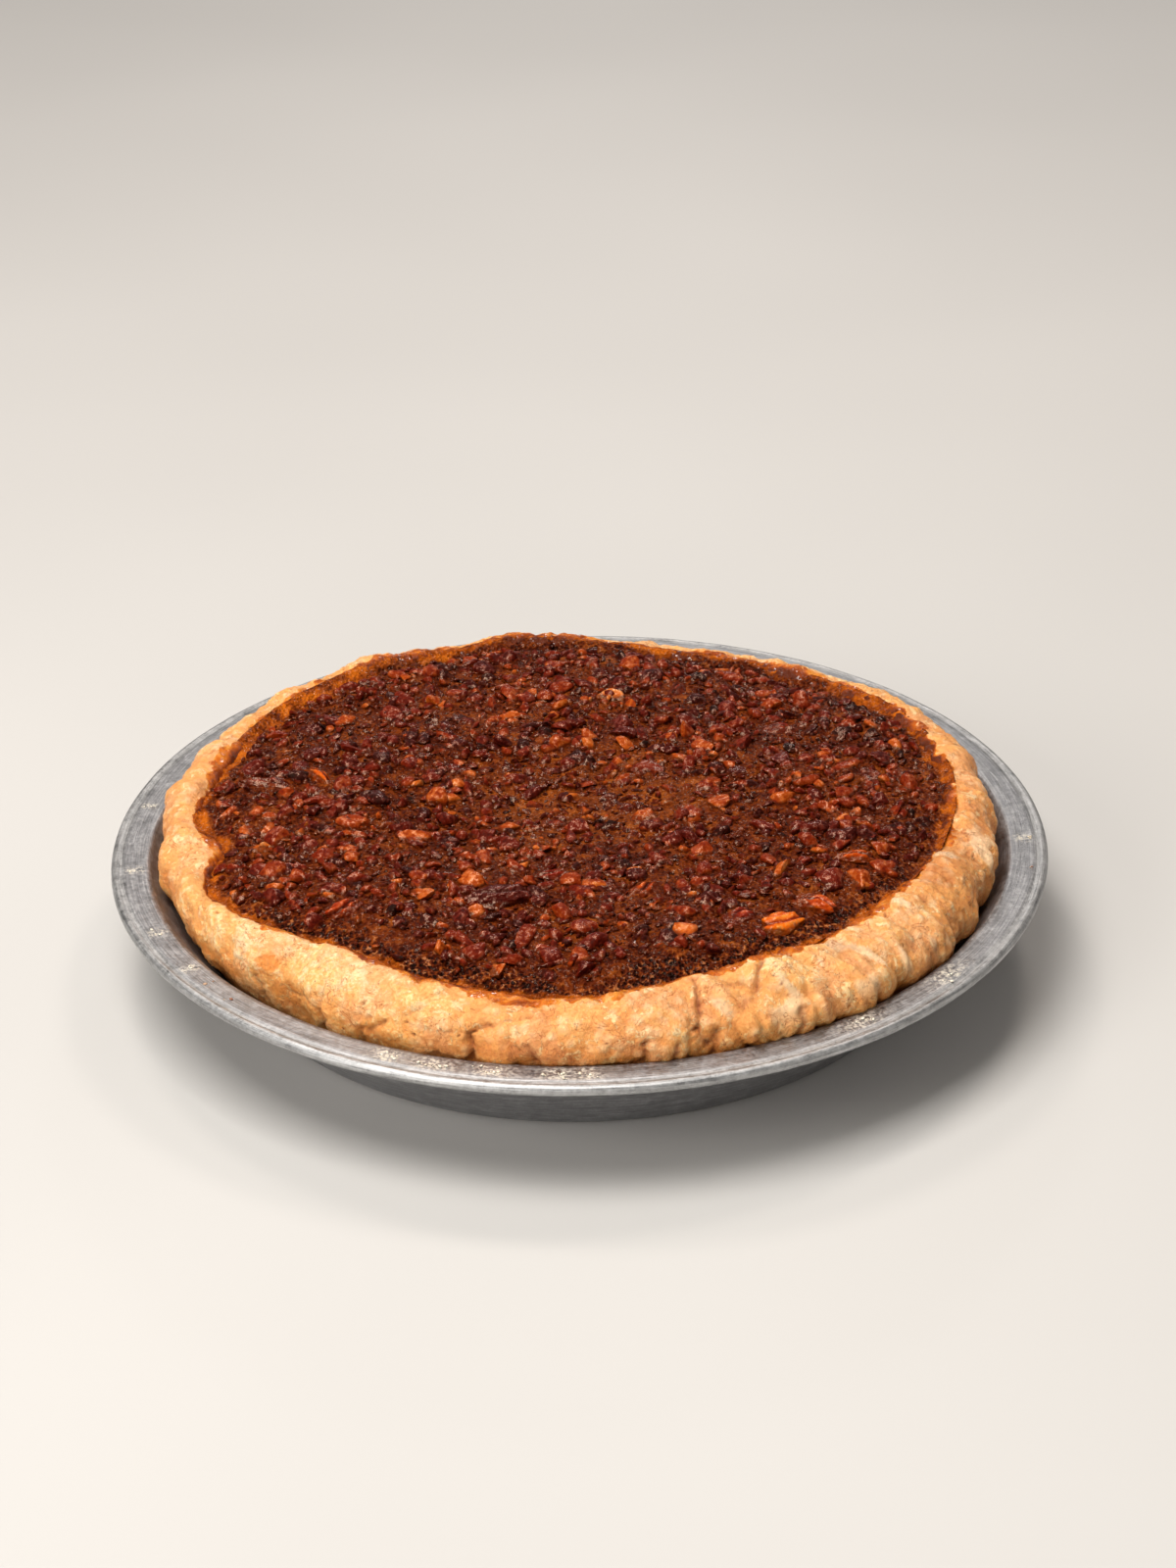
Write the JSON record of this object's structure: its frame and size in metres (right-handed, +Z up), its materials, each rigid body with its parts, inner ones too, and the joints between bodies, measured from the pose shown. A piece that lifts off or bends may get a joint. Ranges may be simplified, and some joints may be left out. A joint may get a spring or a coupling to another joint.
{
  "type": "pecan pie",
  "caption": "Whole baked pie in its round metal tin: hand-folded crust rim around a set, glossy filling crowded with chopped nuts.",
  "frame": {"origin": "centre of the tin's flat underside, on the surface that the pie stands on", "axes": "+Z up; -Y is the front of the pie as pictured, +X its right"},
  "size_m": [0.248, 0.248, 0.0468],
  "materials": {
    "tin": "satin spun aluminium with fine concentric grain, scuffed by use",
    "crust": "baked shortcrust pastry, matte and flaky, pale gold with browned patches",
    "filling": "set dark caramel filling full of chopped nuts, glossy, with a porous edge",
    "pecan": "roasted pecan pieces glazed with caramel, orange-brown to dark maroon"
  },
  "bodies": {
    "root": {"tin": "tin", "crust": "crust", "filling": "filling", "pecan_01": "pecan", "pecan_02": "pecan", "pecan_03": "pecan", "pecan_04": "pecan", "pecan_05": "pecan", "pecan_06": "pecan", "pecan_07": "pecan", "pecan_08": "pecan", "pecan_09": "pecan", "pecan_10": "pecan", "pecan_11": "pecan", "pecan_12": "pecan", "pecan_13": "pecan", "pecan_14": "pecan"}
  },
  "joints": []
}
